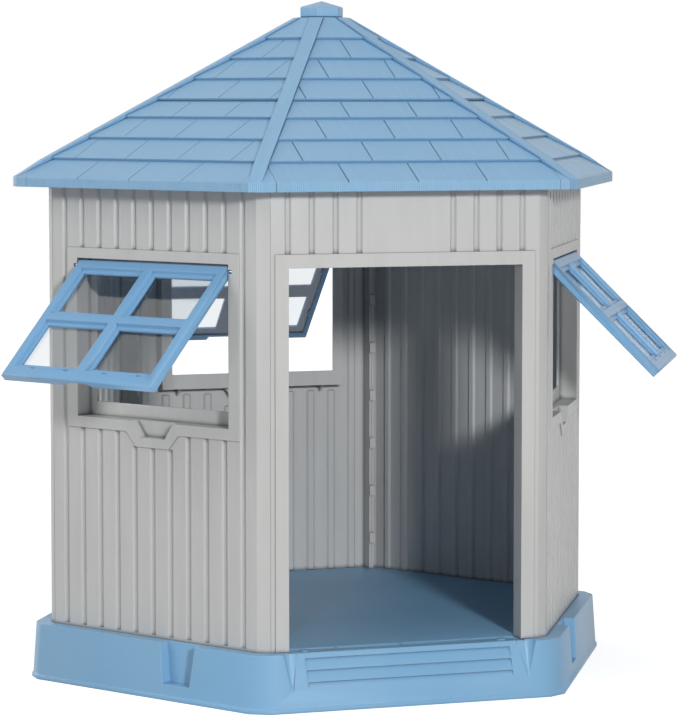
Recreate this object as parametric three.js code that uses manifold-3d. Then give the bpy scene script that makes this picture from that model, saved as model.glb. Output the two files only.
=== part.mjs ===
// A six-sided plastic dog house: a hollow base with an entry step, six ribbed wall panels,
// a two-tier shingled roof with hip caps and a finial, and three awning windows that swing on steel pins.
// Millimetres, +Z up. The origin is the centre of the base's underside, and the doorway faces -Y.
import * as THREE from 'three';
import { mergeVertices } from 'three/addons/utils/BufferGeometryUtils.js';
import { ConvexGeometry } from 'three/addons/geometries/ConvexGeometry.js';
import Module from 'manifold-3d';

const wasm = await Module();
wasm.setup();

// ---- driving dimensions ----

const seatGap = 0.3; // clearance between pieces that touch
const skin = 3; // wall thickness of the moulded panels

const wallSide = 376; // length of one side of the hexagon, outer faces
const wallCornerSetback = 10.1; // how far the corner face eats into each side
const flangeDepth = 27; // edge flanges where two panels meet
const hookSpacing = 69; // snap hooks along each corner joint
const hookFirstZ = 120;
const hookCount = 8;
const hookHeight = 14;
const hookThickness = 3;

const grooveCount = 11;
const grooveMargin = 22.9; // middle of the outermost grooves, from the ends of the wall's flat face
const grooveWidth = 9;
const grooveFloorWidth = 4.4;
const grooveDepth = 2.8;
const grooveFoot = 3; // plain strip left under the grooves

const baseHeight = 72;
const baseFootProud = 25.3; // the base's foot stands this far outside the walls
const baseTopProud = 19;
const baseBottomSetback = 16.7;
const baseTopSetback = 15.3;
const baseRimHeight = 5;
const baseRimProud = 1.4;
const baseSkin = 4;
const floorRise = 2.5; // the floor inside, above the base's top
const channelDepth = 12; // how deep the wall panels stand in the base
const channelClearance = 0.4;
const channelRoom = 18; // how much space stays under the channel's floor for the ring hollow
const ribThickness = 3.5;
const ribPitch = 86;
const ribLift = 2; // ribs end this far above the ground
const footRadius = 28;

const doorMargin = 33.5; // the doorway's sides, from the wall's corners
const doorTop = 546.5;
const doorBand = 17.5; // width of the frame beside the doorway
const doorBandOver = 17; // and over it
const bandRaise = 1.2; // frames round the openings stand proud of the wall
const jambDepth = 24.5;
const plainGroovesOverDoor = 3;
const sillDrop = 1; // the strip of floor across the doorway, below the base's top
const sillWidth = 25.1;
const sillRamp = 7.5;
const sillBossRadius = 7;
const sillBossHeight = 1.4;
const sillBossInset = 23.5;

const stepInset = 8.5; // the step's ends, from the doorway's sides
const stepTopInset = 14.5;
const stepFootZ = 30;
const scoopWidth = 22; // the half-cone hollows beside the step
const scoopDepth = 14;
const scoopFootZ = 22;
const treadCount = 3;
const treadDrop = 7.5; // the first tread, below the base's top
const treadPitch = 14;
const treadDepth = 2.4;
const treadInset = 10; // the treads end this far from the step's ends
const notchTopWidth = 60; // notches in the base's sides
const notchFootWidth = 46;
const notchFootZ = 20;
const notchDepth = 14.5;
const notchOffset = 60; // of the side notches from the middle, towards the front

const windowBand = 18; // width of the frame beside the recess
const windowBandUnder = 14.5; // and under it
const recessMargin = 56; // the windows' recesses, from the wall's corners
const recessBottom = 346.5;
const recessDepth = 22;
const holeInset = 12; // the opening in the back of the recess, from its sides
const holeAboveFoot = 18; // and from its foot
const pullBandWidth = 92; // finger pull below the window: its frame
const pullBandFootWidth = 57.4;
const pullBandDrop = 33; // how far it reaches below the recess
const pullWidth = 74; // and its recess
const pullFootWidth = 44;
const pullDrop = 20.5;
const pullDepth = 12;
const gussetInset = 25;
const gussetThickness = 3;
const gussetDrop = 12;

const sashThickness = 12;
const sashProud = 3.5; // the closed sash stands this far out of the wall
const sashSideGap = 1;
const sashBottomGap = 1.2;
const sashAboveAxis = 5;
const recessAboveAxis = 9.2; // top of the recess over the hinge axis
const holeBelowAxis = 4; // top of the window's opening under it
const bandAboveAxis = 22.5; // top of the frame over it
const hingeHeight = 541;
const hingeInset = 3; // hinge axis behind the wall's outer face
const sashOpenAngle = 45; // degrees, as it stands in the photograph
const sashSideRail = 12.2;
const sashTopRail = 13.9;
const sashBottomRail = 16.2;
const muntinWidth = 13.2;
const crossMuntinWidth = 11.2;
const lightLean = 1.5; // how far the rails' inner sides slope in
const paneLedge = 6.2;
const paneLedgeDepth = 4.5;
const paneLedgeThickness = 4.5;
const paneThickness = 1.6;
const paneSeat = 4.5; // how far the clear sheet runs over the rails
const sashBevel = 2;
const pullNotchWidth = 46;
const pullNotchDepth = 5.5;
const drainSlotLength = 8;
const drainSlotWidth = 2;
const drainSlotDepth = 1.5;
const drainSlotSpacing = 58;
const drainSlotShift = 9; // to the right of each light's middle
const clipLength = 12;
const clipReach = 2.5;

const pinRadius = 2.5;
const pinReach = 6.5; // into the wall's socket
const pinInSash = 11;
const socketClearance = 0.4;
const socketWall = 3;
const socketHeight = 15;
const socketMouth = 4.4; // narrower than the pin, which snaps past it

const ridgeHeight = 860.5; // flat top of the roof
const eaveOverhang = 40.8; // the eaves stand this far outside the walls
const eaveCrestHeight = 653.5;
const fasciaHeight = 12.5;
const eaveCornerSetback = 10.6;
const ridgeApothem = 31.2;
const ridgeHoleApothem = 12;
const roofSkin = 3.5;
const shingleStep = 3.5;
const shingleWidth = 90.5;
const jointWidth = 2.2;
const jointDepth = 2;
const rowsPerTier = 4;
const seamGap = 2.4;
const hiddenRise = 3.5; // how much of the lower tier's first row the upper tier hides
const eaveTrim = 1.5; // how much shorter the last row is
const lapLength = 18;
const fasciaThickness = 3.5;
const fasciaRound = 3;
const capHalfWidth = 9;
const capProud = 2.5;
const capRunOut = 27;
const capEndSetback = 8;
const capFlush = 0.3; // how far the strip stands up where it has run out
const bootReachLeft = 28.5; // how far the caps' boots reach along each eave
const bootReachRight = 23.5;
const locatingRibDepth = 18;
const locatingRibWidth = 3;
const locatingRibInset = 7.1;
const locatingRibEnd = 33; // each rib ends this far from its wall's corners

const finialRadius = 30.1;
const finialSideHeight = 13.6;
const finialPointHeight = 8;
const finialStemRadius = 12;
const finialBarbRadius = 15.5;
const finialStemLength = 20;

// ---- values that follow from them ----

const sides = 6;
const turn = (2 * Math.PI) / sides;
const cos60 = Math.cos(turn);
const sin60 = Math.sin(turn);
const tan30 = Math.tan(turn / 2);
const wallApothem = wallSide * sin60;
const wallHalf = wallSide / 2 - wallCornerSetback; // half width of a wall's flat face
const groovePitch = (wallHalf - grooveMargin) / ((grooveCount - 1) / 2);
const doorWidth = wallSide - 2 * doorMargin;
const recessWidth = wallSide - 2 * recessMargin;
const stepWidth = doorWidth - 2 * stepInset;
const channelFloor = baseHeight - channelDepth;
const baseBottomApothem = wallApothem + baseFootProud;
const baseTopApothem = wallApothem + baseTopProud;
const floorHeight = baseHeight + floorRise;
const sillHeight = baseHeight - sillDrop;
const sillApothem = wallApothem - sillWidth; // its inner edge

const doorBandTop = doorTop + doorBandOver;
const windowBandWidth = recessWidth + 2 * windowBand;
const windowBandBottom = recessBottom - windowBandUnder;
const windowHoleWidth = recessWidth - 2 * holeInset;
const windowHoleBottom = recessBottom + holeAboveFoot;
const pullBandFootZ = recessBottom - pullBandDrop;
const pullFootZ = recessBottom - pullDrop;
const recessTop = hingeHeight + recessAboveAxis;
const windowHoleTop = hingeHeight - holeBelowAxis;
const windowBandTop = hingeHeight + bandAboveAxis;

const eaveApothem = wallApothem + eaveOverhang;
const eaveBottom = eaveCrestHeight - fasciaHeight;
const bootSpanLeft = eaveApothem * tan30 - bootReachLeft; // from the middle of the eave
const bootSpanRight = eaveApothem * tan30 - bootReachRight;

const roofSlope = Math.atan((ridgeHeight - eaveCrestHeight) / (eaveApothem - ridgeApothem));
const roofRise = ridgeHeight - eaveCrestHeight;
const shingleRise = (roofRise + hiddenRise + eaveTrim) / (2 * rowsPerTier); // height of one row
const rowLength = shingleRise / Math.sin(roofSlope);
const seamAt = rowsPerTier * rowLength;
const eaveAt = (eaveApothem - ridgeApothem) / Math.cos(roofSlope);
const roofDepth = shingleStep + roofSkin; // underside below the crest plane, square to it

// A point of a roof face, as [distance from the axis, height], from the distance down the slope
// and the depth below the crest plane.
function onSlope(down, depth) {
  return [
    ridgeApothem + down * Math.cos(roofSlope) - depth * Math.sin(roofSlope),
    ridgeHeight - down * Math.sin(roofSlope) - depth * Math.cos(roofSlope),
  ];
}

function crestHeight(apothem) {
  return ridgeHeight - (apothem - ridgeApothem) * Math.tan(roofSlope);
}

const wallTop = crestHeight(wallApothem) - roofDepth / Math.cos(roofSlope) - seatGap;

// ---- solids ----

function solid(geometry) {
  const bare = geometry.clone();
  bare.deleteAttribute('normal');
  bare.deleteAttribute('uv');
  const merged = mergeVertices(bare, 1e-4);
  return new wasm.Manifold(new wasm.Mesh({
    numProp: 3,
    vertProperties: new Float32Array(merged.attributes.position.array),
    triVerts: new Uint32Array(merged.index.array),
  }));
}

function toGeometry(body) {
  const mesh = body.getMesh();
  const geometry = new THREE.BufferGeometry();
  geometry.setAttribute('position', new THREE.BufferAttribute(new Float32Array(mesh.vertProperties), 3));
  geometry.setIndex(new THREE.BufferAttribute(new Uint32Array(mesh.triVerts), 1));
  geometry.computeVertexNormals();
  return geometry;
}

function block(x0, x1, y0, y1, z0, z1) {
  const geometry = new THREE.BoxGeometry(x1 - x0, y1 - y0, z1 - z0);
  geometry.translate((x0 + x1) / 2, (y0 + y1) / 2, (z0 + z1) / 2);
  return solid(geometry);
}

// Extrudes an outline along an axis: its points are (y, z) along x, (x, z) along y and (x, y) along z.
const extrudeBases = {
  x: new THREE.Matrix4().makeBasis(
    new THREE.Vector3(0, 1, 0), new THREE.Vector3(0, 0, 1), new THREE.Vector3(1, 0, 0)),
  y: new THREE.Matrix4().makeBasis(
    new THREE.Vector3(1, 0, 0), new THREE.Vector3(0, 0, 1), new THREE.Vector3(0, -1, 0)),
  z: new THREE.Matrix4(),
};

function extrude(axis, outline, from, to) {
  const shape = new THREE.Shape(outline.map(([a, b]) => new THREE.Vector2(a, b)));
  const geometry = new THREE.ExtrudeGeometry(shape, { depth: to - from, bevelEnabled: false });
  geometry.applyMatrix4(extrudeBases[axis]);
  if (axis === 'x') geometry.translate(from, 0, 0);
  if (axis === 'y') geometry.translate(0, to, 0);
  if (axis === 'z') geometry.translate(0, 0, from);
  return solid(geometry);
}

function hull(points) {
  return solid(new ConvexGeometry(points.map(([x, y, z]) => new THREE.Vector3(x, y, z))));
}

// Joins rings of equally many points into one closed body; each end is a fan from the ring's first point.
function loft(rings) {
  const count = rings[0].length;
  const triangles = [];
  for (let ring = 0; ring + 1 < rings.length; ring++) {
    for (let i = 0; i < count; i++) {
      const a = ring * count + i;
      const b = ring * count + ((i + 1) % count);
      triangles.push(a, b, b + count, a, b + count, a + count);
    }
  }
  const last = (rings.length - 1) * count;
  for (let i = 1; i + 1 < count; i++) {
    triangles.push(0, i + 1, i);
    triangles.push(last, last + i, last + i + 1);
  }
  const geometry = new THREE.BufferGeometry();
  geometry.setAttribute('position', new THREE.Float32BufferAttribute(rings.flat(2), 3));
  geometry.setIndex(triangles);
  return solid(geometry);
}

function join(bodies) {
  return bodies.reduce((whole, body) => whole.add(body));
}

function cut(body, cutters) {
  return cutters.reduce((rest, cutter) => rest.subtract(cutter), body);
}

// The corners of a hexagon with its points cut off, counter-clockwise, from the front side's left end.
function hexagon(apothem, setback) {
  const half = apothem * tan30 - setback;
  const corners = [];
  for (let side = 0; side < sides; side++) {
    for (const along of [-half, half]) {
      const c = Math.cos(side * turn);
      const s = Math.sin(side * turn);
      corners.push([along * c + apothem * s, along * s - apothem * c]);
    }
  }
  return corners;
}

function hexagonRing(apothem, setback, z) {
  return hexagon(apothem, setback).map(([x, y]) => [x, y, z]);
}

function hexagonPrism(apothem, setback, z0, z1) {
  return loft([hexagonRing(apothem, setback, z0), hexagonRing(apothem, setback, z1)]);
}

// Moves an open path sideways, to its left, with mitred corners.
function offsetPath(path, distance) {
  const normals = path.slice(1).map(([x, y], i) => {
    const dx = x - path[i][0];
    const dy = y - path[i][1];
    const length = Math.hypot(dx, dy);
    return [-dy / length, dx / length];
  });
  return path.map(([x, y], i) => {
    const a = normals[Math.max(i - 1, 0)];
    const b = normals[Math.min(i, normals.length - 1)];
    const scale = distance / (1 + a[0] * b[0] + a[1] * b[1]);
    return [x + (a[0] + b[0]) * scale, y + (a[1] + b[1]) * scale];
  });
}

function strip(path, thickness) {
  return [...path, ...offsetPath(path, thickness).reverse()];
}

// ---- base ----

// Frame of one side of the house: x runs along it to the right, y runs inwards from `apothem`.
function onSide(side, body, apothem = 0) {
  return body.translate([0, -apothem, 0]).rotate([0, 0, (side * 360) / sides]);
}

function baseOutline() {
  const rimTop = baseRimHeight + baseRimProud;
  const atHeight = (z) => z / baseHeight;
  const apothemAt = (z) => baseBottomApothem + (baseTopApothem - baseBottomApothem) * atHeight(z);
  const setbackAt = (z) => baseBottomSetback + (baseTopSetback - baseBottomSetback) * atHeight(z);
  return loft([
    hexagonRing(apothemAt(0), setbackAt(0), 0),
    hexagonRing(apothemAt(baseRimHeight), setbackAt(baseRimHeight), baseRimHeight),
    hexagonRing(apothemAt(rimTop) - baseRimProud, setbackAt(rimTop), rimTop),
    hexagonRing(baseTopApothem, baseTopSetback, baseHeight),
  ]);
}

// Outer face of the base's sides at height z, above the rim, as a distance from the axis.
function baseFace(z) {
  return baseBottomApothem + ((baseTopApothem - baseBottomApothem) * z) / baseHeight;
}

// The entry step: a panel that leans back from the base's foot, with saw-tooth treads,
// and a half-cone hollow at each end.
function baseFront() {
  const top = baseHeight + 1;
  const half = stepWidth / 2;
  const stepTop = baseFace(baseHeight) - stepTopInset;
  const lean = (baseFace(stepFootZ) - stepTop) / (baseHeight - stepFootZ);
  const onStep = (z) => -(stepTop + (baseHeight - z) * lean);
  const recess = extrude('x', [
    [onStep(top), top], [onStep(stepFootZ), stepFootZ], [onStep(stepFootZ) - 5, stepFootZ - 5 / lean],
    [-baseBottomApothem - 5, stepFootZ], [-baseBottomApothem - 5, top],
  ], -half, half);
  const scoops = [-1, 1].map((side) => {
    const middle = side * (half + scoopWidth / 2);
    const rim = [];
    const steps = 8;
    for (let i = 0; i <= steps; i++) {
      const angle = (i * Math.PI) / steps;
      const x = middle + (scoopWidth / 2) * Math.cos(angle);
      rim.push([x, -baseFace(baseHeight) + scoopDepth * Math.sin(angle), top]);
    }
    return hull([...rim, [middle - scoopWidth / 2, -baseBottomApothem, top],
      [middle + scoopWidth / 2, -baseBottomApothem, top], [middle, -baseFace(scoopFootZ), scoopFootZ],
      [middle, -baseBottomApothem - 5, scoopFootZ]]);
  });
  const treads = [];
  for (let tread = 0; tread < treadCount; tread++) {
    const z = baseHeight - treadDrop - tread * treadPitch;
    const end = z - treadPitch + 1;
    treads.push(extrude('x', [
      [onStep(end) - 1, end], [onStep(end), end],
      [onStep(z) + treadDepth, z - 0.6], [onStep(z) - 1, z + 0.2],
    ], treadInset - half, half - treadInset));
  }
  return [recess, ...scoops, ...treads];
}

function sideNotch(side, offset) {
  const outer = -baseBottomApothem - 5;
  const half = notchTopWidth / 2;
  const footHalf = notchFootWidth / 2;
  const back = -(baseTopApothem - notchDepth);
  return onSide(side, hull([
    [offset - half, outer, baseHeight + 1], [offset + half, outer, baseHeight + 1],
    [offset - half, back, baseHeight + 1], [offset + half, back, baseHeight + 1],
    [offset - footHalf, outer, notchFootZ], [offset + footHalf, outer, notchFootZ],
    [offset - footHalf, back - 3, notchFootZ], [offset + footHalf, back - 3, notchFootZ],
  ]));
}

function baseTray() {
  const innerChannel = wallApothem - skin - channelClearance;
  const outerChannel = wallApothem + channelClearance;
  const channelSetback = (apothem) => wallCornerSetback * (apothem / wallApothem);
  const hollowTop = floorHeight - baseSkin;
  const ringTop = channelFloor - baseSkin;
  const floorHollow = innerChannel - baseSkin;

  const platform = hexagonPrism(innerChannel, channelSetback(innerChannel), channelRoom, floorHeight);
  const slot = cut(
    hexagonPrism(outerChannel, wallCornerSetback - channelClearance, channelFloor, baseHeight + 5),
    [hexagonPrism(innerChannel, channelSetback(innerChannel), channelFloor - 1, baseHeight + 6)]);
  const hollow = hexagonPrism(floorHollow, baseBottomSetback / 2, -1, hollowTop);
  const ringHollow = loft([
    hexagonRing(baseBottomApothem - baseSkin - baseRimProud, baseBottomSetback, -1),
    hexagonRing(baseTopApothem - baseSkin, baseTopSetback, ringTop),
  ]);

  const ribs = [];
  const reach = innerChannel / Math.cos(turn / 2);
  const ribSide = Math.floor(reach / ribPitch);
  for (let i = -ribSide; i <= ribSide; i++) {
    const from = i * ribPitch - ribThickness / 2;
    const to = i * ribPitch + ribThickness / 2;
    ribs.push(block(from, to, -reach, reach, ribLift, hollowTop + 1));
    ribs.push(block(-reach, reach, from, to, ribLift, hollowTop + 1));
  }
  const foot = new THREE.CylinderGeometry(footRadius, footRadius, hollowTop + 1, 24);
  foot.rotateX(Math.PI / 2);
  foot.translate(0, 0, (hollowTop + 1) / 2);
  const inside = join([...ribs, solid(foot)])
    .intersect(hexagonPrism(innerChannel, baseBottomSetback / 2, -1, hollowTop + 1));

  // solid backing behind the step and the side notches, and under the doorway's strip
  const stepHalf = stepWidth / 2 + scoopWidth + baseSkin;
  const stepBacking = block(-stepHalf, stepHalf, -baseBottomApothem, -wallApothem + 2, 0, baseHeight)
    .intersect(baseOutline());
  const notchHalf = notchTopWidth / 2 + baseSkin;
  const notchBacking = (side, offset) => onSide(side, block(offset - notchHalf, offset + notchHalf,
    -baseBottomApothem, -wallApothem + 2, notchFootZ - baseSkin, baseHeight)).intersect(baseOutline());
  const doorHalf = doorWidth / 2 - channelClearance;
  const sillHalf = doorWidth / 2 + skin + channelClearance;
  const sillBridge = block(-doorHalf, doorHalf, -outerChannel - 1, -innerChannel + 1, ringTop, sillHeight);

  const shell = cut(baseOutline(), [hollow, ringHollow]);
  const body = join([
    shell, inside, platform.subtract(hexagonPrism(floorHollow, baseBottomSetback / 2, 0, hollowTop)),
    stepBacking, notchBacking(5, notchOffset), notchBacking(1, -notchOffset),
  ]);
  const sillCut = extrude('x', [
    [-baseBottomApothem, sillHeight], [-sillApothem, sillHeight], [-sillApothem + sillRamp, floorHeight],
    [-sillApothem + sillRamp, floorHeight + 5], [-baseBottomApothem, floorHeight + 5],
  ], -sillHalf, sillHalf);
  const boss = (x) => {
    const post = new THREE.CylinderGeometry(sillBossRadius - 1, sillBossRadius, sillBossHeight + 1, 20);
    post.rotateX(Math.PI / 2);
    post.translate(x, -(wallApothem + sillApothem) / 2 - skin, sillHeight + (sillBossHeight - 1) / 2);
    return solid(post);
  };
  return cut(body, [slot.subtract(sillBridge), sillCut, ...baseFront(),
    sideNotch(5, notchOffset), sideNotch(1, -notchOffset)])
    .add(boss(sillBossInset - doorWidth / 2))
    .add(boss(doorWidth / 2 - sillBossInset));
}

// ---- wall panels: x along the wall, y inwards from its outer face, z up ----

// The panel's plan: flange, skin, corner face and flange. The corner face belongs to the panel on its left.
function wallPath(withFlanges) {
  const left = -wallHalf + seatGap / 2;
  const along = [cos60, sin60]; // direction of the next wall
  const corner = [wallSide / 2 + wallCornerSetback * along[0], wallCornerSetback * along[1]];
  const end = [corner[0] - (seatGap / 2) * along[0], corner[1] - (seatGap / 2) * along[1]];
  const path = [[left, 0], [wallHalf, 0], end];
  if (!withFlanges) return path;
  const tip = [end[0] - flangeDepth * sin60, end[1] + flangeDepth * cos60];
  return [[left, flangeDepth], ...path, tip];
}

// Below its flanges the panel ends square to the next wall, so that the two tongues clear each other.
function tongueOutline() {
  const outline = strip(wallPath(false), skin);
  const end = outline[2];
  const reach = skin / Math.cos(turn / 2);
  outline[3] = [end[0] - reach * sin60, end[1] + reach * cos60];
  return outline;
}

function grooveOutline(top, floor, from, to) {
  return [[-top / 2, from], [top / 2, from], [floor / 2, to], [-floor / 2, to]];
}

// One groove pressed into the panel from z0 to z1: what it adds behind the skin and what it cuts away.
function groove(x, z0, z1) {
  const spread = 2 * skin * Math.tan(Math.PI / 8);
  const place = (outline) => outline.map(([a, b]) => [a + x, b]);
  const foot = grooveDepth + skin;
  const behind = grooveOutline(grooveWidth + 2 * skin, grooveFloorWidth + spread, skin / 2, foot);
  return {
    back: extrude('z', place(behind),
      z0 === grooveBottom ? z0 : z0 - skin / 2, Math.min(z1 + skin / 2, wallTop)),
    cutter: extrude('z', place(grooveOutline(
      grooveWidth + (grooveWidth - grooveFloorWidth) / grooveDepth, grooveFloorWidth, -1, grooveDepth)),
    z0, z1 === wallTop ? z1 + 1 : z1),
  };
}

const grooveBottom = baseHeight + grooveFoot;

function pressGrooves(panel, runsOf) {
  const backs = [];
  const cutters = [];
  for (let i = 0; i < grooveCount; i++) {
    const place = i - (grooveCount - 1) / 2;
    for (const [z0, z1] of runsOf(place)) {
      const { back, cutter } = groove(place * groovePitch, z0, z1);
      backs.push(back);
      cutters.push(cutter);
    }
  }
  return cut(join([panel, ...backs]), cutters);
}

// The snap hooks reach from this panel's left flange over the tip of its neighbour's right flange.
function snapHooks() {
  const left = -wallHalf + seatGap / 2;
  const reach = skin + 2 * seatGap;
  const hooks = [];
  for (let i = 0; i < hookCount; i++) {
    const z = hookFirstZ + i * hookSpacing;
    const root = flangeDepth - hookThickness;
    const tip = flangeDepth + seatGap + hookThickness;
    hooks.push(extrude('z', [
      [left, root], [left + skin, root], [left + skin, tip], [left - reach - 1, tip],
      [left - reach - 1, flangeDepth + seatGap], [left, flangeDepth + seatGap],
    ], z - hookHeight / 2, z + hookHeight / 2));
  }
  return hooks;
}

function wallBlank() {
  const flangeFoot = floorHeight + seatGap;
  const panel = extrude('z', strip(wallPath(true), skin), flangeFoot, wallTop);
  const tongue = extrude('z', tongueOutline(), channelFloor + seatGap, flangeFoot + 1);
  return join([panel, tongue, ...snapHooks()]);
}

function plainWall() {
  return pressGrooves(wallBlank(), () => [[grooveBottom, wallTop]]);
}

function frontWall() {
  const half = doorWidth / 2;
  const bandHalf = half + doorBand;
  const omitted = (plainGroovesOverDoor - 1) / 2;
  const ribbed = pressGrooves(wallBlank(), (place) => (
    Math.abs(place) <= omitted ? [] : [[doorBandTop, wallTop]]));
  const band = block(-bandHalf, bandHalf, -bandRaise, skin, baseHeight + seatGap, doorBandTop);
  const jambs = block(-half - skin, half + skin, 0, jambDepth, floorHeight + seatGap, doorTop + skin);
  const jambFeet = block(-half - skin, half + skin, 0, wallApothem - sillApothem - seatGap,
    sillHeight + seatGap, floorHeight + 1);
  const doorway = block(-half, half, -5, flangeDepth + 5, 0, doorTop);
  return cut(join([ribbed, band, jambs, jambFeet]), [doorway]);
}

function windowBandOutline() {
  const half = windowBandWidth / 2;
  return [
    [-half, windowBandBottom], [-pullBandWidth / 2, windowBandBottom],
    [-pullBandFootWidth / 2, pullBandFootZ], [pullBandFootWidth / 2, pullBandFootZ],
    [pullBandWidth / 2, windowBandBottom], [half, windowBandBottom],
    [half, windowBandTop], [-half, windowBandTop],
  ];
}

function pullOutline(grow, top) {
  return [
    [-pullFootWidth / 2 - grow, pullFootZ - grow], [pullFootWidth / 2 + grow, pullFootZ - grow],
    [pullWidth / 2 + grow, recessBottom - grow], [pullWidth / 2 + grow, top], [-pullWidth / 2 - grow, top],
    [-pullWidth / 2 - grow, recessBottom - grow],
  ];
}

// The open-fronted socket that a hinge pin snaps into, at the recess's side: side is -1 or 1.
function hingeSocket(side) {
  const half = recessWidth / 2;
  const radius = pinRadius + socketClearance;
  const outer = half + pinReach + socketWall;
  const mouth = -bandRaise - 1;
  const slot = [[mouth, hingeHeight + socketMouth / 2], [mouth, hingeHeight - socketMouth / 2]];
  const steps = 10;
  const open = Math.PI - Math.asin(socketMouth / 2 / radius);
  for (let i = 0; i <= steps; i++) {
    const angle = -open + (2 * open * i) / steps;
    slot.push([hingeInset + radius * Math.cos(angle), hingeHeight + radius * Math.sin(angle)]);
  }
  const reach = half + pinReach - sashSideGap + socketClearance;
  const span = (from, to) => (side > 0 ? [from, to] : [-to, -from]);
  return {
    boss: block(...span(half, outer), 0, hingeInset + radius + socketWall,
      hingeHeight - socketHeight / 2, hingeHeight + socketHeight / 2),
    slot: extrude('x', slot, ...span(half - 1, reach)),
  };
}

function windowWall() {
  const half = recessWidth / 2;
  const holeHalf = windowHoleWidth / 2;
  const ribbed = pressGrooves(wallBlank(), (place) => {
    const x = Math.abs(place * groovePitch);
    if (x > windowBandWidth / 2) return [[grooveBottom, wallTop]];
    const bandBottom = x < pullBandWidth / 2 ? pullBandFootZ : windowBandBottom;
    return [[grooveBottom, bandBottom], [windowBandTop, wallTop]];
  });
  const band = extrude('y', windowBandOutline(), -bandRaise, skin);
  const pocket = block(-half - skin, half + skin, 0, recessDepth + skin,
    recessBottom - skin, recessTop + skin);
  const pull = extrude('y', pullOutline(skin, recessBottom), 0, pullDepth + skin);
  const sockets = [-1, 1].map(hingeSocket);
  const gussets = [-1, 1].map((side) => {
    const x = side * (half - gussetInset);
    return extrude('x', [
      [skin / 2, recessBottom - skin - gussetDrop], [recessDepth, recessBottom - skin / 2],
      [skin / 2, recessBottom - 1],
    ], x - gussetThickness / 2, x + gussetThickness / 2);
  });
  const body = join([ribbed, band, pocket, pull, ...sockets.map((socket) => socket.boss), ...gussets]);
  return cut(body, [
    block(-half, half, -5, recessDepth, recessBottom, recessTop),
    block(-holeHalf, holeHalf, recessDepth - 1, recessDepth + skin + 5, windowHoleBottom, windowHoleTop),
    extrude('y', pullOutline(0, recessBottom + 1), -5, pullDepth),
    ...sockets.map((socket) => socket.slot),
  ]);
}

// ---- windows: x along the wall, y inwards, z up from the hinge axis, closed ----

const sashHalf = recessWidth / 2 - sashSideGap;
const sashFront = -hingeInset - sashProud;
const sashBack = sashFront + sashThickness;
const sashFoot = recessBottom + sashBottomGap - hingeHeight;
const lightsTop = sashAboveAxis - sashTopRail;
const lightsFoot = sashFoot + sashBottomRail;
const lightWidth = (2 * (sashHalf - sashSideRail) - muntinWidth) / 2;
const lightHeight = (lightsTop - lightsFoot - crossMuntinWidth) / 2;
const ledgeBack = sashFront + paneLedgeDepth + paneLedgeThickness;
const paneFront = ledgeBack + seatGap / 2;

// The four lights of a sash, as [middle x, middle z].
function lightMiddles() {
  const x = (lightWidth + muntinWidth) / 2;
  const upper = lightsTop - lightHeight / 2;
  const lower = lightsFoot + lightHeight / 2;
  return [[-x, upper], [x, upper], [-x, lower], [x, lower]];
}

function rectangle(x, z, width, height) {
  return [
    [x - width / 2, z - height / 2], [x + width / 2, z - height / 2],
    [x + width / 2, z + height / 2], [x - width / 2, z + height / 2],
  ];
}

// A rectangle from y0 to y1 whose edges lean in by `lean` at the back.
function taperedBlock(x, z, width, height, y0, y1, lean) {
  const ring = (y, grow) => rectangle(x, z, width + 2 * grow, height + 2 * grow).map(([a, b]) => [a, y, b]);
  return loft([ring(y1, -lean), ring(y0, 0)]);
}

// The clear sheet's outline, or its seat's with a clearance.
function paneOutline(clearance) {
  const grow = paneSeat + clearance;
  const width = 2 * (sashHalf - sashSideRail + grow);
  const height = lightsTop - lightsFoot + 2 * grow;
  return rectangle(0, (lightsTop + lightsFoot) / 2, width, height);
}

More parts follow.
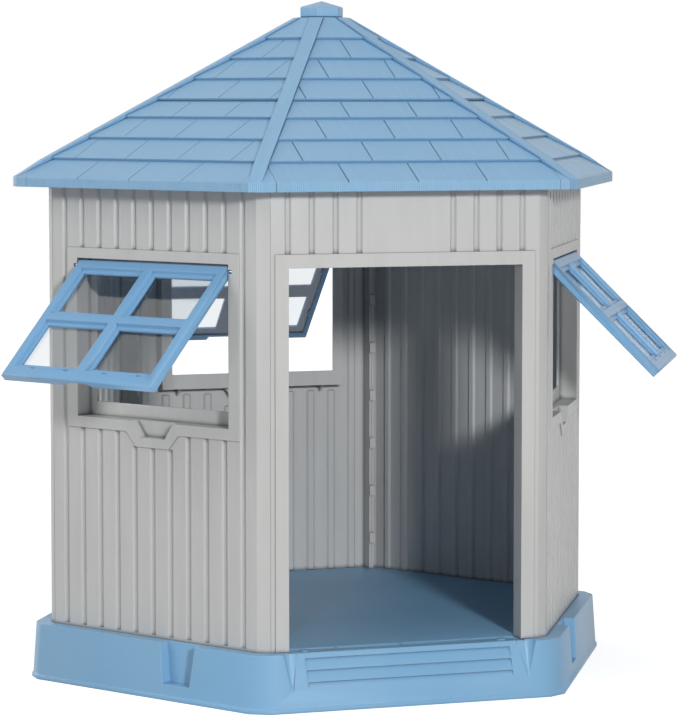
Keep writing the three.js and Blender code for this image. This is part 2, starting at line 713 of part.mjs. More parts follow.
function windowSash() {
  const height = sashAboveAxis - sashFoot;
  const middle = (sashAboveAxis + sashFoot) / 2;
  const blank = join([
    taperedBlock(0, middle, 2 * sashHalf, height, sashFront + sashBevel, sashBack, 0),
    taperedBlock(0, middle, 2 * (sashHalf - sashBevel), height - 2 * sashBevel, sashFront,
      sashFront + sashBevel + 0.01, -sashBevel),
  ]);
  const cutters = [extrude('y', paneOutline(seatGap), ledgeBack, sashBack + 1)];
  for (const [x, z] of lightMiddles()) {
    cutters.push(taperedBlock(x, z, lightWidth, lightHeight,
      sashFront, sashFront + paneLedgeDepth, lightLean));
    cutters.push(extrude('y', rectangle(x, z, lightWidth, lightHeight), sashFront - 1, sashFront));
    cutters.push(extrude('y',
      rectangle(x, z, lightWidth - 2 * paneLedge, lightHeight - 2 * paneLedge), sashFront, sashBack));
    if (z < middle) {
      for (const side of [-1, 1]) {
        const slot = rectangle(x + drainSlotShift + (side * drainSlotSpacing) / 2,
          lightsFoot - drainSlotWidth, drainSlotLength, drainSlotWidth);
        cutters.push(extrude('y', slot, sashFront - 1, sashFront + drainSlotDepth));
      }
    }
  }
  // finger notch in the back of the bottom rail, with slanted ends
  const notchHalf = pullNotchWidth / 2;
  cutters.push(extrude('z', [
    [-notchHalf + pullNotchDepth, sashBack - pullNotchDepth],
    [notchHalf - pullNotchDepth, sashBack - pullNotchDepth],
    [notchHalf + 1, sashBack + 1], [-notchHalf - 1, sashBack + 1],
  ], sashFoot - 1, lightsFoot - paneSeat - 3));
  // blind bores for the hinge pins
  for (const side of [-1, 1]) {
    const bore = new THREE.CylinderGeometry(pinRadius + seatGap, pinRadius + seatGap, pinInSash + 1, 16);
    bore.rotateZ(Math.PI / 2);
    bore.translate(side * (sashHalf - (pinInSash - 1) / 2), 0, 0);
    cutters.push(solid(bore));
  }
  // clips that hold the clear sheet in its seat
  const seatHalf = sashHalf - sashSideRail + paneSeat + seatGap;
  const clips = [];
  for (const z of [lightsTop - lightHeight / 2, lightsFoot + lightHeight / 2]) {
    for (const side of [-1, 1]) {
      const x = side * (seatHalf - clipReach / 2 + 0.5);
      clips.push(block(x - clipReach / 2 - 0.5, x + clipReach / 2 + 0.5,
        paneFront + paneThickness + seatGap, sashBack, z - clipLength / 2, z + clipLength / 2));
    }
  }
  return join([cut(blank, cutters), ...clips]);
}

function windowPane() {
  return extrude('y', paneOutline(0), paneFront, paneFront + paneThickness);
}

function hingePin(side) {
  const from = sashHalf - pinInSash + seatGap;
  const to = sashHalf + pinReach;
  const pin = new THREE.CylinderGeometry(pinRadius, pinRadius, to - from, 16);
  pin.rotateZ(Math.PI / 2);
  pin.translate((side * (from + to)) / 2, 0, 0);
  return solid(pin);
}

// ---- roof: x along the eave, -y outwards, z up ----

function shingleRows(ends, firstDepth) {
  // one sloping face per row and a step at each row's lower edge
  const points = [];
  ends.forEach(([from, to], row) => {
    points.push(onSlope(from, row === 0 ? firstDepth : shingleStep));
    points.push(onSlope(to, 0));
  });
  return points;
}

const upperRows = Array.from({ length: rowsPerTier }, (_, row) => [row * rowLength, (row + 1) * rowLength]);
const lowerStart = seamAt + seamGap;
const lowerRowEnds = [seamAt + (shingleRise - hiddenRise) / Math.sin(roofSlope)];
for (let row = 1; row < rowsPerTier; row++) lowerRowEnds.push(lowerRowEnds[0] + row * rowLength);
lowerRowEnds[rowsPerTier - 1] = eaveAt;
const lowerRows = lowerRowEnds.map((end, row) => [row === 0 ? lowerStart : lowerRowEnds[row - 1], end]);

function faceProfile(points, from = -eaveApothem, to = eaveApothem) {
  return extrude('x', points.map(([apothem, z]) => [-apothem, z]), from, to);
}

// The sector of the roof between two hips, each hip's plane moved in by `gap`.
function betweenHips(gap) {
  const apex = gap / Math.sin(turn / 2);
  const far = 2 * eaveApothem;
  const half = (far - apex) * tan30;
  return extrude('z', [[0, -apex], [-half, -far], [half, -far]], 0, 2 * ridgeHeight);
}

// The dull groove between two shingles, over one row.
function shingleJoint(x, [from, to], firstDepth) {
  const half = jointWidth / 2;
  const lift = 0.5;
  const start = onSlope(from + 1.5, firstDepth);
  const points = [];
  for (const [[apothem, z], run] of [[start, 0], [onSlope(to, 0), 1.5]]) {
    const a = apothem + run * Math.cos(roofSlope);
    const b = z - run * Math.sin(roofSlope);
    points.push([x - half, -a, b + lift], [x + half, -a, b + lift], [x, -a, b - jointDepth]);
  }
  return hull(points);
}

function jointCutters(rows, firstRowNumber, firstDepth) {
  const cutters = [];
  rows.forEach((row, i) => {
    const number = firstRowNumber + i;
    const half = onSlope(row[1], 0)[0] * tan30 - capHalfWidth * 2;
    const shift = number % 2 === 0 ? 0 : shingleWidth / 2;
    const depth = i === 0 ? firstDepth : shingleStep;
    for (let x = shift; x < half; x += shingleWidth) {
      if (number === 1 || x + jointWidth > bootSpanLeft) continue;
      cutters.push(shingleJoint(x, row, depth));
      if (x > 0) cutters.push(shingleJoint(-x, row, depth));
    }
  });
  return cutters;
}

// A point near a hip, from the distance of the hip's foot point to the axis, the side of the hip
// (-1 or 1), the distance from the hip in the roof's face and the height above the crest plane.
const hipTilt = Math.atan(Math.tan(roofSlope) * Math.cos(turn / 2));
const faceNormal = (side) => new THREE.Vector3(Math.sin(roofSlope) * Math.cos(turn / 2),
  side * Math.sin(roofSlope) * Math.sin(turn / 2), Math.cos(roofSlope));

function nearHip(radius, side, away, height) {
  const hip = new THREE.Vector3(radius, 0, crestHeight(radius * Math.cos(turn / 2)));
  const normal = faceNormal(side);
  const along = new THREE.Vector3(Math.cos(hipTilt), 0, -Math.sin(hipTilt));
  const across = new THREE.Vector3().crossVectors(normal, along).multiplyScalar(side * away);
  if (away === 0) return [hip.x, hip.y, hip.z + height / Math.cos(roofSlope)];
  return hip.add(across).addScaledVector(normal, height).toArray();
}

// Room for the hip caps: all that lies above the shingles' lowest level beside both hips of a face.
function capRoom() {
  const width = capHalfWidth + seatGap;
  const rooms = [-1, 1].map((side) => {
    const ring = (radius) => [
      nearHip(radius, side, 0, -shingleStep), nearHip(radius, side, width, -shingleStep),
      nearHip(radius, side, width, 20), nearHip(radius, side, 0, 20), nearHip(radius, side, -width, 20),
      nearHip(radius, side, -width, -shingleStep),
    ];
    return hull([...ring(0), ...ring(2 * eaveApothem)])
      .rotate([0, 0, -90 - (side * 180) / sides]);
  });
  return rooms;
}

function upperRoof() {
  const under = (ridgeHeight - roofSkin - onSlope(0, roofDepth)[1]) / Math.sin(roofSlope);
  const profile = [
    [ridgeHoleApothem, ridgeHeight], ...shingleRows(upperRows, 0),
    onSlope(seamAt, roofDepth), onSlope(-under, roofDepth), [ridgeHoleApothem, ridgeHeight - roofSkin],
  ];
  const panel = faceProfile(profile).intersect(betweenHips(seatGap / 2));
  return cut(panel, [...capRoom(), ...jointCutters(upperRows, 1, shingleStep)]);
}

function lowerProfile() {
  const lapTop = roofDepth + seatGap;
  const lapUnder = lapTop + roofSkin;
  const bend = lowerStart + roofSkin;
  const inner = eaveApothem - fasciaThickness;
  const innerTop = crestHeight(inner) - roofDepth / Math.cos(roofSlope);
  const rows = shingleRows(lowerRows, shingleStep);
  rows.pop();
  // the rounded top edge of the fascia
  const tangent = fasciaRound * Math.tan((Math.PI / 2 - roofSlope) / 2);
  const round = [];
  const steps = 3;
  for (let i = 0; i <= steps; i++) {
    const angle = Math.PI / 2 - roofSlope - (i / steps) * (Math.PI / 2 - roofSlope);
    round.push([
      eaveApothem - fasciaRound + fasciaRound * Math.cos(angle),
      eaveCrestHeight - tangent + fasciaRound * Math.sin(angle),
    ]);
  }
  return [
    onSlope(seamAt - lapLength, lapTop), onSlope(lowerStart, lapTop), ...rows, ...round,
    [eaveApothem, eaveBottom], [inner, eaveBottom], [inner, innerTop],
    onSlope(bend, roofDepth), onSlope(bend, lapUnder), onSlope(seamAt - lapLength, lapUnder),
  ];
}

function lowerRoof() {
  const panel = faceProfile(lowerProfile(), -bootSpanLeft, bootSpanRight)
    .intersect(betweenHips(seatGap / 2));
  const ribBack = -(wallApothem - locatingRibInset - locatingRibWidth);
  const ribTop = crestHeight(-ribBack) - roofDepth / Math.cos(roofSlope) + 1;
  const ribHalf = wallSide / 2 - locatingRibEnd;
  const rib = block(-ribHalf, ribHalf, ribBack - locatingRibWidth, ribBack,
    ribTop - locatingRibDepth, ribTop);
  return cut(panel, [...capRoom(), ...jointCutters(lowerRows, rowsPerTier + 1, shingleStep)]).add(rib);
}

// A hip cap lies along +X here: a flat strip over the joint of two faces, which runs out flush
// with a boot round the eave's corner.
function hipCap() {
  const cornerRadius = eaveApothem / Math.cos(turn / 2);
  const cornerFace = cornerRadius - eaveCornerSetback * Math.sin(turn / 2);
  const foot = cornerFace - capEndSetback;
  const runOut = (radius) => THREE.MathUtils.clamp((foot - radius) / capRunOut, 0, 1);
  const station = (radius, depth) => {
    const proud = capFlush + (capProud - capFlush) * runOut(radius);
    return [
      nearHip(radius, 1, 0, -depth), nearHip(radius, 1, capHalfWidth, -depth),
      nearHip(radius, 1, capHalfWidth, proud), nearHip(radius, -1, capHalfWidth, proud),
      nearHip(radius, -1, capHalfWidth, -depth),
    ];
  };
  const onRoof = shingleStep - seatGap;
  const onBoot = shingleStep + 1;
  const lay = (radii, depth) => loft(radii.map((radius) => station(radius, depth)));
  const strap = lay([ridgeApothem, foot - capRunOut, foot, cornerRadius], onRoof)
    .intersect(block(0, 2 * cornerRadius, -cornerRadius, cornerRadius, 0, ridgeHeight));

  // the boot: the lower shingles' corner with the strip's footing, levelled off where the strip runs out
  const corner = faceProfile(lowerProfile());
  const footing = lay([cornerRadius / 2, foot - capRunOut, foot, cornerRadius], onBoot);
  const halves = [-1, 1].map((side) => {
    const span = side < 0
      ? [-eaveApothem, -bootSpanLeft - seatGap] : [bootSpanRight + seatGap, eaveApothem];
    const toHip = (body) => body.rotate([0, 0, 90 - (side * 180) / sides]);
    const region = block(...span, -2 * eaveApothem, 0, 0, ridgeHeight).intersect(betweenHips(-0.02));
    return toHip(corner).add(footing).intersect(toHip(region));
  });
  const fill = block(cornerFace - fasciaThickness, cornerRadius, -eaveCornerSetback, eaveCornerSetback,
    eaveBottom, crestHeight(eaveApothem) - shingleStep);
  const level = (radius) => [
    nearHip(radius, 1, capHalfWidth, capFlush), nearHip(radius, 1, capHalfWidth, 30),
    nearHip(radius, -1, capHalfWidth, 30), nearHip(radius, -1, capHalfWidth, capFlush),
  ];
  const leveller = hull([...level(cornerRadius / 2), ...level(cornerRadius + 10)]);
  const boot = cut(join([...halves, fill]), [leveller]);
  return join([strap, boot]).intersect(hexagonPrism(eaveApothem, eaveCornerSetback, 0, ridgeHeight));
}

// ---- finial ----

function roofFinial() {
  const foot = ridgeHeight + seatGap;
  const barbTop = ridgeHeight - roofSkin - seatGap;
  const profile = [
    [0, barbTop - finialStemLength], [finialStemRadius * 0.7, barbTop - finialStemLength],
    [finialBarbRadius, barbTop], [finialStemRadius, barbTop], [finialStemRadius, foot],
    [finialRadius, foot], [finialRadius, foot + finialSideHeight],
    [0, foot + finialSideHeight + finialPointHeight],
  ];
  const geometry = new THREE.LatheGeometry(profile.map(([r, z]) => new THREE.Vector2(r, z)), sides);
  geometry.rotateX(Math.PI / 2);
  geometry.rotateZ(Math.PI / 2);
  return solid(geometry);
}

// ---- materials ----

const wallGrey = new THREE.MeshStandardMaterial({ color: 0xc3c3c2, roughness: 0.55, metalness: 0 });
const roofBlue = new THREE.MeshStandardMaterial({ color: 0x8cb1d1, roughness: 0.5, metalness: 0 });
const sashBlue = new THREE.MeshStandardMaterial({ color: 0x6f9fce, roughness: 0.45, metalness: 0 });
const clearSheet = new THREE.MeshStandardMaterial({
  color: 0xe4ecee, roughness: 0.05, metalness: 0, transparent: true, opacity: 0.25,
});
const pinSteel = new THREE.MeshStandardMaterial({ color: 0xd8dadb, roughness: 0.25, metalness: 1 });

// ---- assembly ----

const group = new THREE.Group();

function addPiece(parent, name, body, material) {
  const mesh = new THREE.Mesh(toGeometry(body), material);
  mesh.name = name;
  parent.add(mesh);
}

addPiece(group, 'base_tray', baseTray(), roofBlue);

const wallNames = ['front', 'front_right', 'back_right', 'back', 'back_left', 'front_left'];
const windowSides = ['front_right', 'back', 'front_left'];
const wallBodies = { door: frontWall(), window: windowWall(), plain: plainWall() };
const roofBodies = { upper: upperRoof(), lower: lowerRoof(), cap: hipCap() };
const sashBodies = { sash: windowSash(), pane: windowPane(), left: hingePin(-1), right: hingePin(1) };

wallNames.forEach((name, side) => {
  const face = new THREE.Group();
  face.rotation.z = side * turn;
  group.add(face);

  const wall = new THREE.Group();
  wall.position.y = -wallApothem;
  face.add(wall);
  const hasWindow = windowSides.includes(name);
  const kind = side === 0 ? 'door' : hasWindow ? 'window' : 'plain';
  addPiece(wall, `wall_${name}`, wallBodies[kind], wallGrey);

  addPiece(face, `roof_upper_${name}`, roofBodies.upper, roofBlue);
  addPiece(face, `roof_lower_${name}`, roofBodies.lower, roofBlue);

  const hip = new THREE.Group();
  hip.rotation.z = -Math.PI / 2 + turn / 2;
  face.add(hip);
  addPiece(hip, `hip_cap_${name}`, roofBodies.cap, roofBlue);

  if (hasWindow) {
    const hinge = new THREE.Group();
    hinge.position.set(0, hingeInset, hingeHeight);
    hinge.rotation.x = THREE.MathUtils.degToRad(-sashOpenAngle);
    wall.add(hinge);
    addPiece(hinge, `window_sash_${name}`, sashBodies.sash, sashBlue);
    addPiece(hinge, `window_pane_${name}`, sashBodies.pane, clearSheet);
    addPiece(hinge, `hinge_pin_left_${name}`, sashBodies.left, pinSteel);
    addPiece(hinge, `hinge_pin_right_${name}`, sashBodies.right, pinSteel);
  }
});

addPiece(group, 'roof_finial', roofFinial(), roofBlue);

export default group;
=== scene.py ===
import math

import bmesh
import bpy
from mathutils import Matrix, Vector
from mathutils.bvhtree import BVHTree
from mathutils.geometry import intersect_point_line


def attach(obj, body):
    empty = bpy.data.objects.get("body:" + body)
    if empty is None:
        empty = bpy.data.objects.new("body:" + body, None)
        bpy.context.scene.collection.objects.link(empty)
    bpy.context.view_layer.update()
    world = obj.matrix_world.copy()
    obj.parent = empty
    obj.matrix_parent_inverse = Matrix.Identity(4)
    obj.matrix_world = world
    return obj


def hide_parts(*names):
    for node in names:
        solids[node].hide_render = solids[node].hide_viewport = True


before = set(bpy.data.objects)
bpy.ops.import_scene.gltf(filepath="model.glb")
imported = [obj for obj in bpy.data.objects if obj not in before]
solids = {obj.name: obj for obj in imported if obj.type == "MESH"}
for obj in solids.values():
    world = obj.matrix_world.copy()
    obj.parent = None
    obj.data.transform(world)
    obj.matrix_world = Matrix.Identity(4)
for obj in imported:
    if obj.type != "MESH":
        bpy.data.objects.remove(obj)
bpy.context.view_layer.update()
sideNames = ["front", "front_right", "back_right", "back", "back_left", "front_left"]
windowSides = ["front_right", "back", "front_left"]
sideTurn = math.pi / 3


# the photograph's view
camera = {
    "place": (-1.4065, -4.1086, 0.7553),  # metres
    "tilt": 85.42,  # degrees from straight down
    "turn": -19.21,
    "lens": 163.64,
    "sensor": 36,
    "reach": 100,  # metres that it sees
}

eye = bpy.data.objects.new("camera", bpy.data.cameras.new("camera"))
eye.location = camera["place"]
eye.rotation_euler = (math.radians(camera["tilt"]), 0, math.radians(camera["turn"]))
eye.data.lens = camera["lens"]
eye.data.sensor_width = camera["sensor"]
eye.data.clip_end = camera["reach"]
bpy.context.scene.collection.objects.link(eye)
bpy.context.scene.camera = eye
bpy.context.scene.view_settings.view_transform = "Standard"

# lamps, and the white that the house stands in
studio = {
    "ambient": 0.12,  # what the world gives to matt surfaces
    "white": 1.0,  # what the camera, gloss and clear sheets see of it
    "centre": (0, 0, 0.42),
    "lamps": {
        # name: (degrees to the right of the doorway, degrees up, distance, width, power in watts)
        "front": (-3, 13, 5.0, 0.5, 142),
        "leftLow": (-62, 10, 5.0, 1.6, 4),
        "leftHigh": (-96, 32, 5.0, 3.2, 78),
        "overhead": (0, 84, 4.2, 3.0, 40),
        "behind": (-150, 12, 5.0, 2.0, 36),
    },
    "floorColour": (0.6, 0.6, 0.6, 1),
    "floorRoughness": 0.9,
    "floorSpecular": 0.1,
    "floorGlow": (0.72, 1.0),  # below the house, and from floorWhite metres on
    "floorWhite": 2.2,
    "floorReach": 14,
}


def lamp(name, turn, rise, distance, width, power):
    light = bpy.data.lights.new(name, "AREA")
    light.shape = "DISK"
    light.size = width
    light.energy = power
    turn, rise = math.radians(turn), math.radians(rise)
    towards = Vector((math.sin(turn) * math.cos(rise), -math.cos(turn) * math.cos(rise),
                      math.sin(rise)))
    made = bpy.data.objects.new(name, light)
    made.location = Vector(studio["centre"]) + towards * distance
    made.rotation_euler = towards.to_track_quat("Z", "Y").to_euler()
    bpy.context.scene.collection.objects.link(made)


for name, settings in studio["lamps"].items():
    lamp(name, *settings)


# limits that the finishes share
patterns = {
    "cloudDetail": 3,
    "blend": (0.35, 0.65),  # noise at which a blend of two colours starts and ends
    "paintedShadeFade": (0.95, 0.35),  # openness of a face at which the painted shade in a narrow gap starts and is complete
    "paintedShadeSamples": 8,
    "edge": (0.99, 0.8),  # the same for the painted highlight along an edge: cosine between its face and its rounding
    "edgeSamples": 6,
}


def linear(red, green, blue):
    # from a colour as it looks on screen, 0 to 255
    def channel(value):
        value /= 255
        return value / 12.92 if value <= 0.04045 else ((value + 0.055) / 1.055) ** 2.4

    return (channel(red), channel(green), channel(blue), 1)


class Signal:
    # a shader socket that Python's operators work on
    def __init__(self, shading, socket):
        self.shading = shading
        self.socket = socket

    def maths(self, operation, first, second):
        return self.shading.node("Math", {"operation": operation}, {0: first, 1: second})

    def __add__(self, other):
        return self.maths("ADD", self, other)

    def __radd__(self, other):
        return self.maths("ADD", other, self)

    def __sub__(self, other):
        return self.maths("SUBTRACT", self, other)

    def __rsub__(self, other):
        return self.maths("SUBTRACT", other, self)

    def __mul__(self, other):
        return self.maths("MULTIPLY", self, other)

    def __rmul__(self, other):
        return self.maths("MULTIPLY", other, self)


class Shading:
    # a node tree, and the patterns that the finishes are made of
    def __init__(self, tree):
        self.tree = tree

    def node(self, kind, settings=None, inputs=None, output=0):
        made = self.tree.nodes.new("ShaderNode" + kind)
        for name, value in (settings or {}).items():
            setattr(made, name, value)
        self.feed(made, inputs or {})
        return Signal(self, made.outputs[output]) if made.outputs else None

    def feed(self, made, inputs):
        for name, value in inputs.items():
            if isinstance(value, Signal):
                self.tree.links.new(value.socket, made.inputs[name])
            else:
                made.inputs[name].default_value = value

    def surface(self, inputs):
        self.feed(self.tree.nodes["Principled BSDF"], inputs)

    def seenFrom(self, turn):
        # coordinates turned so that x runs along a side of the house, and z up
        place = self.node("TexCoord", output="Object")
        return self.node("Mapping", None, {"Vector": place, "Rotation": (0, 0, -turn)})

    def axis(self, place, name):
        return self.node("SeparateXYZ", None, {0: place}, name)

    def noise(self, place, scale, detail=2, stretch=None):
        if stretch:
            place = self.node("Mapping", None, {"Vector": place, "Scale": stretch})
        return self.node("TexNoise", None, {"Vector": place, "Scale": scale, "Detail": detail})

    def clouds(self, place, finish):
        return self.noise(place, finish["clouds"], patterns["cloudDetail"])

    def fade(self, signal, low, high):
        # 0 at low, 1 at high, smooth between them
        return self.node("MapRange", {"interpolation_type": "SMOOTHSTEP"},
                         {"Value": signal, "From Min": low, "From Max": high})

    def mixColour(self, factor, first, second):
        return self.node("Mix", {"data_type": "RGBA"}, {0: factor, 6: first, 7: second}, 2)

    def bump(self, height, strength, distance, under=None):
        inputs = {"Height": height, "Strength": strength, "Distance": distance}
        if under:
            inputs["Normal"] = under
        return self.node("Bump", None, inputs)

    def rounded(self, radius):
        return self.node("Bevel", {"samples": patterns["edgeSamples"]}, {"Radius": radius})

    def paintedShadeMask(self, reach):
        # painted shade: 1 in narrow gaps and inner corners, where shade falls, 0 on open faces
        seen = self.node("AmbientOcclusion", {"samples": patterns["paintedShadeSamples"]},
                         {"Distance": reach}, "AO")
        return self.fade(seen, *patterns["paintedShadeFade"])

    def edges(self, radius):
        # painted highlight: 1 along sharp edges, where a moulding catches the light
        flat = self.node("NewGeometry", output="True Normal")
        alike = self.node("VectorMath", {"operation": "DOT_PRODUCT"},
                          {0: self.rounded(radius), 1: flat}, "Value")
        return self.fade(alike, *patterns["edge"])

    def colourWithPaintedLight(self, blend, finish):
        # two colours, with a painted highlight along the edges and painted shade in the inner
        # corners and gaps
        colour = self.mixColour(self.fade(blend, *patterns["blend"]),
                                linear(*finish["colour"]), linear(*finish["shade"]))
        # painted highlight along the sharp edges
        light = self.mixColour(self.edges(finish["edgeRadius"]) * finish["paintedHighlightStrength"],
                               colour, linear(*finish["paintedHighlightColour"]))
        # painted shade in narrow gaps and inner corners
        return self.mixColour(self.paintedShadeMask(finish["paintedShadeReach"]) * finish["paintedShadeStrength"],
                              light, linear(*finish["paintedShadeColour"]))

    def uneven(self, pattern, finish):
        return finish["roughness"] + (pattern - 0.5) * finish["roughnessSpread"]

    def grained(self, place, finish):
        # the mould's fine grain, over rounded edges
        return self.bump(self.noise(place, finish["grain"]), finish["grainStrength"],
                         finish["grainDepth"], self.rounded(finish["edgeRadius"]))

    def plastic(self, finish, blend, clouds, normal):
        self.surface({
            "Base Color": self.colourWithPaintedLight(blend, finish),
            "Roughness": self.uneven(clouds, finish),
            "Normal": normal,
            "Specular IOR Level": finish["specular"],
        })


def newMaterial(name):
    material = bpy.data.materials.new(name)
    material.use_nodes = True
    return material, Shading(material.node_tree)


# in each finish, scales are per metre, and depths and radii are in metres
wallFinish = {
    "colour": (199, 199, 198),
    "shade": (193, 193, 192),
    "roughness": 0.42,
    "roughnessSpread": 0.08,
    "clouds": 5,
    "flow": 60,  # faint upright flow lines of the moulding
    "flowStretch": (1, 1, 0.1),
    "flowShare": 0.4,
    "grain": 900,
    "grainStrength": 0.5,
    "grainDepth": 0.00006,
    "edgeRadius": 0.0014,
    # painted highlight along the sharp edges
    "paintedHighlightStrength": 0.5,
    "paintedHighlightColour": (222, 222, 221),
    # painted shade in narrow gaps and inner corners
    "paintedShadeReach": 0.007,
    "paintedShadeStrength": 0.8,
    "paintedShadeColour": (70, 70, 71),
    "specular": 0.3,
}


def wallPlastic(side):
    finish = wallFinish
    material, shading = newMaterial("wallPlastic_" + sideNames[side])
    place = shading.seenFrom(side * sideTurn)
    clouds = shading.clouds(place, finish)
    flow = shading.noise(place, finish["flow"], stretch=finish["flowStretch"])
    blend = clouds * (1 - finish["flowShare"]) + flow * finish["flowShare"]
    shading.plastic(finish, blend, clouds, shading.grained(place, finish))
    return material


roofFinish = {
    "colour": (134, 177, 210),
    "shade": (128, 173, 208),
    "roughness": 0.42,
    "roughnessSpread": 0.1,
    "clouds": 6,
    "grain": 1000,
    "grainStrength": 0.5,
    "grainDepth": 0.00005,
    "streaks": 230,  # wood grain down the slope
    "streakStretch": (1, 0.03, 0.03),
    "streakDetail": 3,
    "streakShare": 0.5,
    "streakStrength": 0.6,
    "streakDepth": 0.00012,
    "reedPitch": 0.0025,  # fine reeds round the eaves
    "reedStrength": 0.5,
    "reedDepth": 0.0004,
    "reedTop": 0.6575,
    "reedFade": 0.007,
    "edgeRadius": 0.0014,
    # painted highlight along the sharp edges
    "paintedHighlightStrength": 0.45,
    "paintedHighlightColour": (168, 202, 229),
    # painted shade in narrow gaps and inner corners
    "paintedShadeReach": 0.0045,
    "paintedShadeStrength": 0.6,
    "paintedShadeColour": (22, 62, 105),
    "specular": 0.5,
}


def roofPlastic(name, turn, overHip=False):
    finish = roofFinish
    material, shading = newMaterial(name)
    place = shading.seenFrom(turn)
    along, inward, up = (shading.axis(place, axis) for axis in "XYZ")
    if overHip:  # the boot's two ends lie along the two eaves that meet there
        spread = shading.node("Math", {"operation": "ABSOLUTE"}, {0: along})
        along = spread * math.cos(sideTurn / 2) + inward * math.sin(sideTurn / 2)
    clouds = shading.clouds(place, finish)
    streaks = shading.noise(place, finish["streaks"], finish["streakDetail"],
                            finish["streakStretch"])
    reeds = shading.node("Math", {"operation": "SINE"},
                         {0: along * (2 * math.pi / finish["reedPitch"])})
    atEave = 1 - shading.fade(up, finish["reedTop"] - finish["reedFade"], finish["reedTop"])
    streaky = shading.bump(streaks, finish["streakStrength"], finish["streakDepth"],
                           shading.grained(place, finish))
    blend = clouds * (1 - finish["streakShare"]) + streaks * finish["streakShare"]
    shading.plastic(finish, blend, clouds,
                    shading.bump(reeds * atEave, finish["reedStrength"], finish["reedDepth"],
                                 streaky))
    return material


baseFinish = {
    "colour": (131, 178, 213),
    "shade": (125, 174, 211),
    "roughness": 0.4,
    "roughnessSpread": 0.1,
    "clouds": 5,
    "grain": 900,
    "grainStrength": 0.5,
    "grainDepth": 0.00006,
    "edgeRadius": 0.0025,
    # painted highlight along the sharp edges
    "paintedHighlightStrength": 0.4,
    "paintedHighlightColour": (168, 202, 229),
    # painted shade in narrow gaps and inner corners
    "paintedShadeReach": 0.004,
    "paintedShadeStrength": 0.4,
    "paintedShadeColour": (30, 72, 118),
    "specular": 0.4,
}

sashFinish = {
    "colour": (126, 174, 214),
    "shade": (120, 170, 211),
    "roughness": 0.34,
    "roughnessSpread": 0.08,
    "clouds": 8,
    "grain": 1200,
    "grainStrength": 0.5,
    "grainDepth": 0.00004,
    "edgeRadius": 0.0012,
    # painted highlight along the sharp edges
    "paintedHighlightStrength": 0.45,
    "paintedHighlightColour": (160, 198, 230),
    # painted shade in narrow gaps and inner corners
    "paintedShadeReach": 0.004,
    "paintedShadeStrength": 0.6,
    "paintedShadeColour": (25, 65, 112),
    "specular": 0.25,
}


def bluePlastic(name, finish):
    material, shading = newMaterial(name)
    place = shading.seenFrom(0)
    clouds = shading.clouds(place, finish)
    shading.plastic(finish, clouds, clouds, shading.grained(place, finish))
    return material


sheetFinish = {
    "tint": (224, 228, 231),
    "roughness": 0.02,
    "waves": 9,  # slow waviness of an extruded sheet
    "waveDetail": 1,
    "waveStrength": 0.2,
    "waveDepth": 0.0001,
    "transmission": 1.0,
    "ior": 1.5,
}


def clearSheet():
    finish = sheetFinish
    material, shading = newMaterial("clearSheet")
    waves = shading.noise(shading.seenFrom(0), finish["waves"], finish["waveDetail"])
    shading.surface({
        "Base Color": linear(*finish["tint"]),
        "Roughness": finish["roughness"],
        "Transmission Weight": finish["transmission"],
        "IOR": finish["ior"],
        "Normal": shading.bump(waves, finish["waveStrength"], finish["waveDepth"]),
    })
    return material


pinFinish = {
    "colour": (222, 224, 226),
    "metallic": 1.0,
    "roughness": 0.2,
    "roughnessSpread": 0.2,
    "marks": 2600,  # fine turning marks round the pin
    "markStretch": (1, 0.02, 0.02),
    "markStrength": 0.4,
    "markDepth": 0.00002,
}


def pinSteel(side):
    finish = pinFinish
    material, shading = newMaterial("pinSteel_" + sideNames[side])
    marks = shading.noise(shading.seenFrom(side * sideTurn), finish["marks"],
                          stretch=finish["markStretch"])
    shading.surface({
        "Base Color": linear(*finish["colour"]),
        "Metallic": finish["metallic"],
        "Roughness": shading.uneven(marks, finish),
        "Normal": shading.bump(marks, finish["markStrength"], finish["markDepth"]),
    })
    return material


def whiteForSight(shading):
    # 1 for the rays that show the surroundings: from the camera, gloss and clear sheets
    sight, gloss, through = (shading.node("LightPath", output=name) for name in
                             ("Is Camera Ray", "Is Glossy Ray", "Is Transmission Ray"))
    return shading.node("Math", {"operation": "MINIMUM"}, {0: sight + gloss + through, 1: 1.0})


white = (1, 1, 1, 1)
black = (0, 0, 0, 1)

world = bpy.data.worlds.new("studio")
world.use_nodes = True
world.node_tree.nodes.clear()
bpy.context.scene.world = world
sky = Shading(world.node_tree)
dim = sky.node("Background", None, {"Color": white, "Strength": studio["ambient"]})
bright = sky.node("Background", None, {"Color": white, "Strength": studio["white"]})
shown = sky.node("MixShader", None, {0: whiteForSight(sky), 1: dim, 2: bright})
sky.node("OutputWorld", None, {"Surface": shown})

floorMaterial, floorShading = newMaterial("studioFloor")
near, far = studio["floorGlow"]
away = floorShading.node("VectorMath", {"operation": "LENGTH"},
                         {0: floorShading.node("TexCoord", output="Object")}, "Value")
glow = near + floorShading.fade(away, 0, studio["floorWhite"]) * (far - near)
floorShading.surface({
    "Base Color": studio["floorColour"],
    "Roughness": studio["floorRoughness"],
    "Specular IOR Level": studio["floorSpecular"],
    "Emission Color": floorShading.mixColour(whiteForSight(floorShading) * glow, black, white),
    "Emission Strength": 1.0,
})
reach = studio["floorReach"]
floorMesh = bpy.data.meshes.new("studio_floor")
floorMesh.from_pydata([(-reach, -reach, 0), (reach, -reach, 0), (reach, reach, 0),
                       (-reach, reach, 0)], [], [(0, 1, 2, 3)])
floorMesh.materials.append(floorMaterial)
floor = bpy.data.objects.new("studio_floor", floorMesh)
bpy.context.scene.collection.objects.link(floor)
print("studio ready")


def dress(nodeName, material):
    # for a solid that keeps its shape
    for slot in solids[nodeName].material_slots:
        slot.material = material


